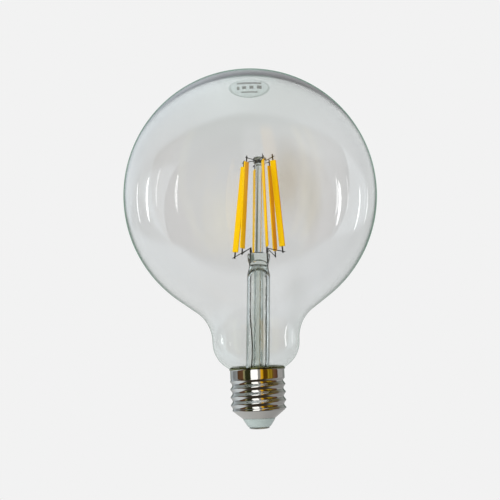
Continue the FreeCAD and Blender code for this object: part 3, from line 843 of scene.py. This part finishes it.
# Wires
# Dull nickel wire: two stout leads through the press, three links through the button, and six
# arms that are welded to the leads' tops and to the strips' tabs.
lead_diameter = 0.00056
lead_bend = 0.0010
half_spacing = 0.00385
lead_top = 0.0644
arm_diameter = 0.0004
arm_bend = 0.0003
arm_crossing = 0.75
link_crossing = 0.6
# From the middle line of a tab, and of a lead, to that of the thin wire which lies on it.
tab_offset = 0.00034
lead_offset = 0.00048
weld_length = 0.0026
arm_tail = 0.0013
link_tail = 0.0010
link_depth = 0.0010
link_spacing = 0.00048
exit_radius = button_radius + 0.0004


def grained_finish(name, grain, tones, bump, roughness, more):
    """An opaque finish whose one fine grain varies its tone, its sheen and its skin.

    The grain is a scale and a detail, the tones are a dark and a light one, the bump is a
    strength and a depth, and the roughness is its least value and what the grain adds.
    """
    material, nodes = finish_of(name)
    fleck = nodes.noise(*grain)
    least, added = roughness
    nodes.end_surface(
        {
            "Base Color": nodes.blend(fleck, *tones),
            "Roughness": least + added * fleck if added else least,
            "Normal": nodes.bump(fleck, *bump),
            **more,
        }
    )
    return material


nickel = grained_finish(
    "dull_nickel",
    grain=(900.0, 4.0),
    tones=((0.030, 0.032, 0.028, 1), (0.11, 0.11, 0.10, 1)),
    bump=(0.3, 0.00005),
    roughness=(0.32, 0.2),
    more={"Metallic": 0.85},
)


def bend_wire(name, points, diameter, bend, slot, *replaced):
    """A round wire along straight runs, with an even bend at each corner."""
    curve = bpy.data.curves.new(name, "CURVE")
    curve.dimensions = "3D"
    curve.bevel_depth = diameter / 2
    curve.bevel_resolution = 3
    curve.resolution_u = 5
    curve.use_fill_caps = True
    stations = [(points[0], points[0], points[0])]
    for before, corner, after in zip(points, points[1:], points[2:]):
        back = (before - corner).normalized() * bend
        on = (after - corner).normalized() * bend
        stations.append((corner + back * 1.3, corner + back, corner + back * 0.45))
        stations.append((corner + on * 0.45, corner + on, corner + on * 1.3))
    stations.append((points[-1], points[-1], points[-1]))
    spline = curve.splines.new("BEZIER")
    spline.bezier_points.add(len(stations) - 1)
    for knot, (left, middle, right) in zip(spline.bezier_points, stations):
        knot.co = middle
        knot.handle_left_type = "FREE"
        knot.handle_right_type = "FREE"
        knot.handle_left = left
        knot.handle_right = right
    curve.materials.append(nickel)
    piece = add_object(name, curve)
    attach(piece, "root")
    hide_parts(*replaced)


def lead_point(side, height, inward=0.0):
    """A point of a lead; side is -1 at the left and 1 at the right."""
    return stem_place @ Vector((side * (half_spacing - inward), 0, height))


board_foot = 0.0156
pin_top = 0.0182
pin_aside = 0.0032
left_route = [
    Vector((-pin_aside, 0, board_foot)),
    Vector((-pin_aside, 0, pin_top)),
    lead_point(-1, 0.017, 0.0012),
    lead_point(-1, 0.031),
    lead_point(-1, lead_top),
]
right_route = [
    Vector((pin_aside, 0, board_foot)),
    Vector((pin_aside, 0, pin_top)),
    lead_point(1, flare_height),
    lead_point(1, lead_top),
]
bend_wire("left_lead", left_route, lead_diameter, lead_bend, "nickel_wire", "lead_wire_left")
bend_wire("right_lead", right_route, lead_diameter, lead_bend, "nickel_wire", "lead_wire_right")


def beside_tab(number, head, share):
    """Where a thin wire crosses a strip's tab, against its broad face."""
    across, through, along = strip_axes(number)
    crossing = filament_end(number, head, tab_length * share)
    return crossing + through * tab_offset


for number in range(6):
    side = 1 if number < 3 else -1
    crossing = beside_tab(number, False, arm_crossing)
    outward = crossing - lead_point(side, lead_top)
    outward = (outward - stem_axis * outward.dot(stem_axis)).normalized() * lead_offset
    weld_top = lead_point(side, lead_top - arm_diameter) + outward
    weld_foot = lead_point(side, lead_top - weld_length) + outward
    tail = crossing + (crossing - weld_top).normalized() * arm_tail
    route = [weld_foot, weld_top, tail]
    name = f"arm_{number + 1}"
    bend_wire(name, route, arm_diameter, arm_bend, "nickel_wire", f"arm_wire_{number + 1}")
for number in range(3):
    level = button_top - link_depth - link_spacing * number
    exits = []
    for member in (number, number + 3):
        leaving = stem_place @ on_ring(filament_azimuth(member), exit_radius, level)
        crossing = beside_tab(member, True, link_crossing)
        exits.append([leaving, crossing + (crossing - leaving).normalized() * link_tail])
    route = exits[0][::-1] + exits[1]
    name = f"link_{number + 1}"
    bend_wire(name, route, arm_diameter, arm_bend, "nickel_wire", f"link_wire_{number + 1}")

# Tabs
# The strips' end tabs, punched from thin metal and moulded into the ends of the strips. Each
# has the bead of the spot weld that holds its wire.
tab_width = 0.0007
tab_thickness = 0.00025
tab_rounding = 0.00006
bead_size = Matrix.Diagonal((0.00042, 0.00042, 0.00036, 1))
shape = bmesh.new()
for number in range(6):
    for head, share in ((False, arm_crossing), (True, link_crossing)):
        start = filament_end(number, head)
        end = filament_end(number, head, tab_length)
        add_bar(shape, number, start, end, tab_width, tab_thickness, tab_rounding, 2)
        bead = Matrix.Translation(beside_tab(number, head, share)) @ bead_size
        bmesh.ops.create_icosphere(shape, subdivisions=3, radius=1.0, matrix=bead)
make_piece("end_tabs", shape, nickel, "nickel_wire", "filament_tabs")

# Screw cap
# One thin nickel-plated sheet, drawn to a cup and rolled: a rim turned out a little, a plain
# band, a rolled thread of 3.629 mm pitch and a cone that holds the insulator.
thread_pitch = 0.003629
thread_crest = 0.0202
thread_foot = 0.0086
band_foot = 0.0233
crest_radius = 0.01305
root_radius = 0.01205
band_radius = 0.0128
cone_top_radius = 0.0123
cone_foot_radius = 0.0077
cone_foot_height = 0.0050
rim_radius = 0.0133
rim_height = 0.0278
sheet = 0.0003
thread_rings = 78
thread_run_in = 0.0009
thread_run_out = 0.0012

plated, nodes = finish_of("bright_nickel_plate")
lines = nodes.noise(1.0, 3.0, (60, 60, 2400))
smear = nodes.noise(240.0, 4.0)
plate_and_reflection_tone = nodes.blend(smear, (0.60, 0.59, 0.56, 1), (0.68, 0.67, 0.645, 1))
# Painted reflections: where the shell faces aside and upward its tone darkens to grey-olive, and
# to brown on the right flank, and its far left side turns darker grey, in place of the room that
# the plating throws back.
facing = nodes.add("ShaderNodeSeparateXYZ", {}, {0: nodes.add("ShaderNodeNewGeometry")["Normal"]})
aside = nodes.fade(facing.maths("ABSOLUTE", facing["X"]), 0.16, 0.30, kind="LINEAR")
upward = nodes.fade(facing["Z"], 0.08, 0.30, kind="LINEAR")
right_reflection_share = nodes.between(facing["X"], 0.16, 0.60, 0.06)
painted_reflection_tone = nodes.blend(right_reflection_share, (0.27, 0.275, 0.24, 1), (0.16, 0.125, 0.055, 1))
plate_and_reflection_tone = nodes.blend(aside * upward, plate_and_reflection_tone, painted_reflection_tone)
left_reflection_share = nodes.fade(facing["X"], -0.62, -0.84, kind="LINEAR")
plate_and_reflection_tone = nodes.blend(left_reflection_share, plate_and_reflection_tone, (0.37, 0.37, 0.355, 1))
level = nodes.place()["Z"] + smear * 0.0004
rim_share = nodes.fade(level, 0.0272, 0.0274, kind="LINEAR")
nodes.end_surface(
    {
        "Base Color": nodes.blend(rim_share, plate_and_reflection_tone, (0.14, 0.145, 0.05, 1)),
        "Metallic": 1.0,
        "Roughness": 0.05 + 0.06 * smear,
        "Normal": nodes.bump(lines + smear, 0.12, 0.00004),
    }
)


def ease(share):
    """A smooth step from 0 to 1."""
    share = min(max(share, 0), 1)
    return share * share * (3 - 2 * share)


def sheet_radius(height, turn):
    """The rolled sheet's outer radius: the thread climbs one pitch for each turn."""
    low = ease((height - thread_foot) / thread_run_in)
    high = ease((band_foot - height) / thread_run_out)
    phase = math.pi * (height - thread_crest) / thread_pitch - turn / 2
    hill = 0.5 * math.cos(phase) ** 2 + 0.5 * (1 - abs(math.sin(phase)))
    radius = root_radius + (crest_radius - root_radius) * hill
    radius += (cone_top_radius - radius) * (1 - low)
    return radius + (band_radius - radius) * (1 - high)


shape = bmesh.new()
thread_length = band_foot - thread_foot
levels = [thread_foot + thread_length * step / thread_rings for step in range(thread_rings + 1)]
rings = [(cone_foot_radius, cone_foot_radius, cone_foot_height)]
for share in (0.03, 0.5, 0.97):
    radius = cone_foot_radius + (cone_top_radius - cone_foot_radius) * share
    rings.append((radius, radius, cone_foot_height + (thread_foot - cone_foot_height) * share))
# The thread's rings start a metre wide, which marks them, and are drawn in below.
rings += [(1.0, 1.0, level) for level in levels]
for radius, level in (
    (band_radius, 0.0240),
    (band_radius, 0.0266),
    (0.01283, 0.0269),
    (0.01295, 0.0271),
    (0.01325, 0.0274),
    (rim_radius, 0.02755),
    (rim_radius, 0.02774),
    (0.01322, rim_height),
):
    rings.append((radius, radius, level))
roll_rings(shape, rings, 144)
for vert in shape.verts:
    if vert.co.xy.length > 0.5:
        turn = math.atan2(vert.co.y, vert.co.x)
        vert.co.xy = vert.co.xy.normalized() * sheet_radius(vert.co.z, turn)
bmesh.ops.recalc_face_normals(shape, faces=shape.faces)
level_only = Vector((1, 1, 0))
outward = sum(face.normal.dot(face.calc_center_median() * level_only) for face in shape.faces)
if outward < 0:
    bmesh.ops.reverse_faces(shape, faces=shape.faces)
cap = make_piece("screw_cap_shell", shape, plated, "plated_cap", "cap_shell")
thicken = cap.modifiers.new("sheet", "SOLIDIFY")
thicken.thickness = sheet
thicken.offset = -1

# Cement
# The capping cement, baked hard, that bonds the glass's throat into the cap. Only its top
# shows, under the neck.
cement = grained_finish(
    "capping_cement",
    grain=(1400.0, 6.0),
    tones=((0.10, 0.09, 0.03, 1), (0.24, 0.21, 0.09, 1)),
    bump=(0.6, 0.0002),
    roughness=(0.8, 0),
    more={},
)


def refinish(node, material):
    """Gives a CAD node's own slots a finish."""
    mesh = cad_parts[node].data
    mesh.materials.clear()
    mesh.materials.append(material)


refinish("cap_cement", cement)

# Insulator
# A pale cone with a satin skin and a rounded edge. It was moulded into the shell's foot, and
# keeps the end contact apart from the shell.
mint = grained_finish(
    "mint_insulator",
    grain=(350.0, 3.0),
    tones=((0.48, 0.56, 0.53, 1), (0.54, 0.62, 0.585, 1)),
    bump=(0.15, 0.0001),
    roughness=(0.30, 0.15),
    more={"Coat Weight": 0.3, "Coat Roughness": 0.2},
)
shape = bmesh.new()
point = start_outline(shape, 0.0015, 0.0010)
for radius, level in (
    (0.0046, 0.0010),
    (0.0049, 0.0011),
    (0.0053, 0.0014),
    (0.0058, 0.0020),
    (0.0064, 0.0029),
    (0.0070, 0.0038),
    (0.0074, 0.0045),
    (0.00755, 0.0049),
    (0.0074, 0.0050),
    (0.0110, 0.0084),
    (0.0015, 0.0084),
    (0.0015, 0.0010),
):
    point = draw_line(shape, point, radius, level)
spin_outline(shape, 96)
make_piece("insulator_cone", shape, mint, "pale_insulator", "cap_insulator")

# Centre contact
# The end contact, pressed from plated brass gone dull and set in the insulator. A bright dot
# of solder fills its hole and holds the wire.
brass = grained_finish(
    "dull_contact",
    grain=(1100.0, 5.0),
    tones=((0.42, 0.44, 0.42, 1), (0.66, 0.68, 0.66, 1)),
    bump=(0.3, 0.00005),
    roughness=(0.35, 0.25),
    more={"Metallic": 0.9},
)
shape = bmesh.new()
point = start_outline(shape, 0.0008, 0.0010)
for radius, level in (
    (0.0008, 0.00012),
    (0.0020, 0.00010),
    (0.0031, 0.00016),
    (0.0040, 0.00028),
    (0.0045, 0.00042),
    (0.0047, 0.00060),
    (0.0047, 0.00085),
    (0.0045, 0.0010),
    (0.0008, 0.0010),
):
    point = draw_line(shape, point, radius, level)
spin_outline(shape, 72)
make_piece("end_contact_plate", shape, brass, "contact_brass", "centre_contact")
solder = grained_finish(
    "bright_solder",
    grain=(1800.0, 3.0),
    tones=((0.70, 0.70, 0.68, 1), (0.82, 0.82, 0.80, 1)),
    bump=(0.3, 0.00005),
    roughness=(0.18, 0.15),
    more={"Metallic": 1.0},
)
refinish("contact_solder", solder)

# Driver
# The small round board in the cap, the parts that are soldered on it and its two wires, all
# hidden by the shell. They keep the solids' shapes and get their finishes here.
def finish_parts(name, tones, metallic, smoothest, scale, *parts):
    """A moulded, coated or drawn finish for some of the driver's parts."""
    finish = grained_finish(
        name,
        grain=(scale, 4.0),
        tones=tones,
        bump=(0.25, 0.0001),
        roughness=(smoothest, 0.15),
        more={"Metallic": metallic},
    )
    for part in parts:
        refinish(part, finish)


white_tones = ((0.74, 0.74, 0.69, 1), (0.82, 0.82, 0.78, 1))
black_tones = ((0.02, 0.02, 0.02, 1), (0.05, 0.05, 0.05, 1))
blue_tones = ((0.05, 0.06, 0.09, 1), (0.09, 0.10, 0.14, 1))
green_tones = ((0.20, 0.32, 0.25, 1), (0.30, 0.44, 0.36, 1))
copper_tones = ((0.55, 0.38, 0.25, 1), (0.70, 0.52, 0.38, 1))
finish_parts("board_mask", white_tones, 0.0, 0.35, 900.0, "driver_board")
finish_parts("black_moulding", black_tones, 0.0, 0.5, 2500.0, "bridge_rectifier", "driver_chip")
finish_parts("capacitor_sleeve", blue_tones, 0.0, 0.3, 500.0, "smoothing_capacitor")
finish_parts("resistor_coat", green_tones, 0.0, 0.45, 1500.0, "fusible_resistor")
finish_parts("tinned_copper", copper_tones, 1.0, 0.25, 1500.0, "contact_wire", "shell_wire")

# Window strips
# Narrow lights at either hand, seen only where the globe's glass throws them back, as thin
# bright arcs. The window is one tall light in front, which only the cap answers.
strip_tilt = 19


def shine_on(lamp, piece):
    """Lets a lamp light one piece only."""
    alone = bpy.data.collections.new(lamp.name + "_alone")
    alone.objects.link(piece)
    lamp.light_linking.receiver_collection = alone


for name, bearing_of_strip, height_of_strip, width_angle, tall_angle, radiance in (
    ("right_strip", 84.0, -8, 3.2, 29, 6.0),
    ("left_strip", -98.5, 4, 2.8, 25, 5.0),
    ("far_right_strip", 110.5, -2, 2.0, 22, 3.5),
    ("far_left_strip", -114.0, 7, 1.6, 19, 3.0),
    ("back_right_strip", 124.0, 4, 1.2, 14, 2.0),
):
    width = 2 * lamp_distance * math.tan(math.radians(width_angle / 2))
    tall = 2 * lamp_distance * math.tan(math.radians(tall_angle / 2))
    strip = hang_lamp(name, bearing_of_strip, height_of_strip, width, tall, radiance, strip_tilt)
    shine_on(strip, globe)
    strip.data.use_nodes = True
    nodes = Nodes(strip.data.node_tree)
    thrown_back = nodes.add("ShaderNodeLightPath")["Glossy Depth"] > 0.5
    glow = nodes.add("ShaderNodeEmission", {}, {"Strength": thrown_back})
    nodes.add("ShaderNodeOutputLight", {}, {0: glow})
window = hang_lamp("window", -13.5, 2, 0.72, 3.2, 2.1)
window.data.shape = "RECTANGLE"
shine_on(window, cap)
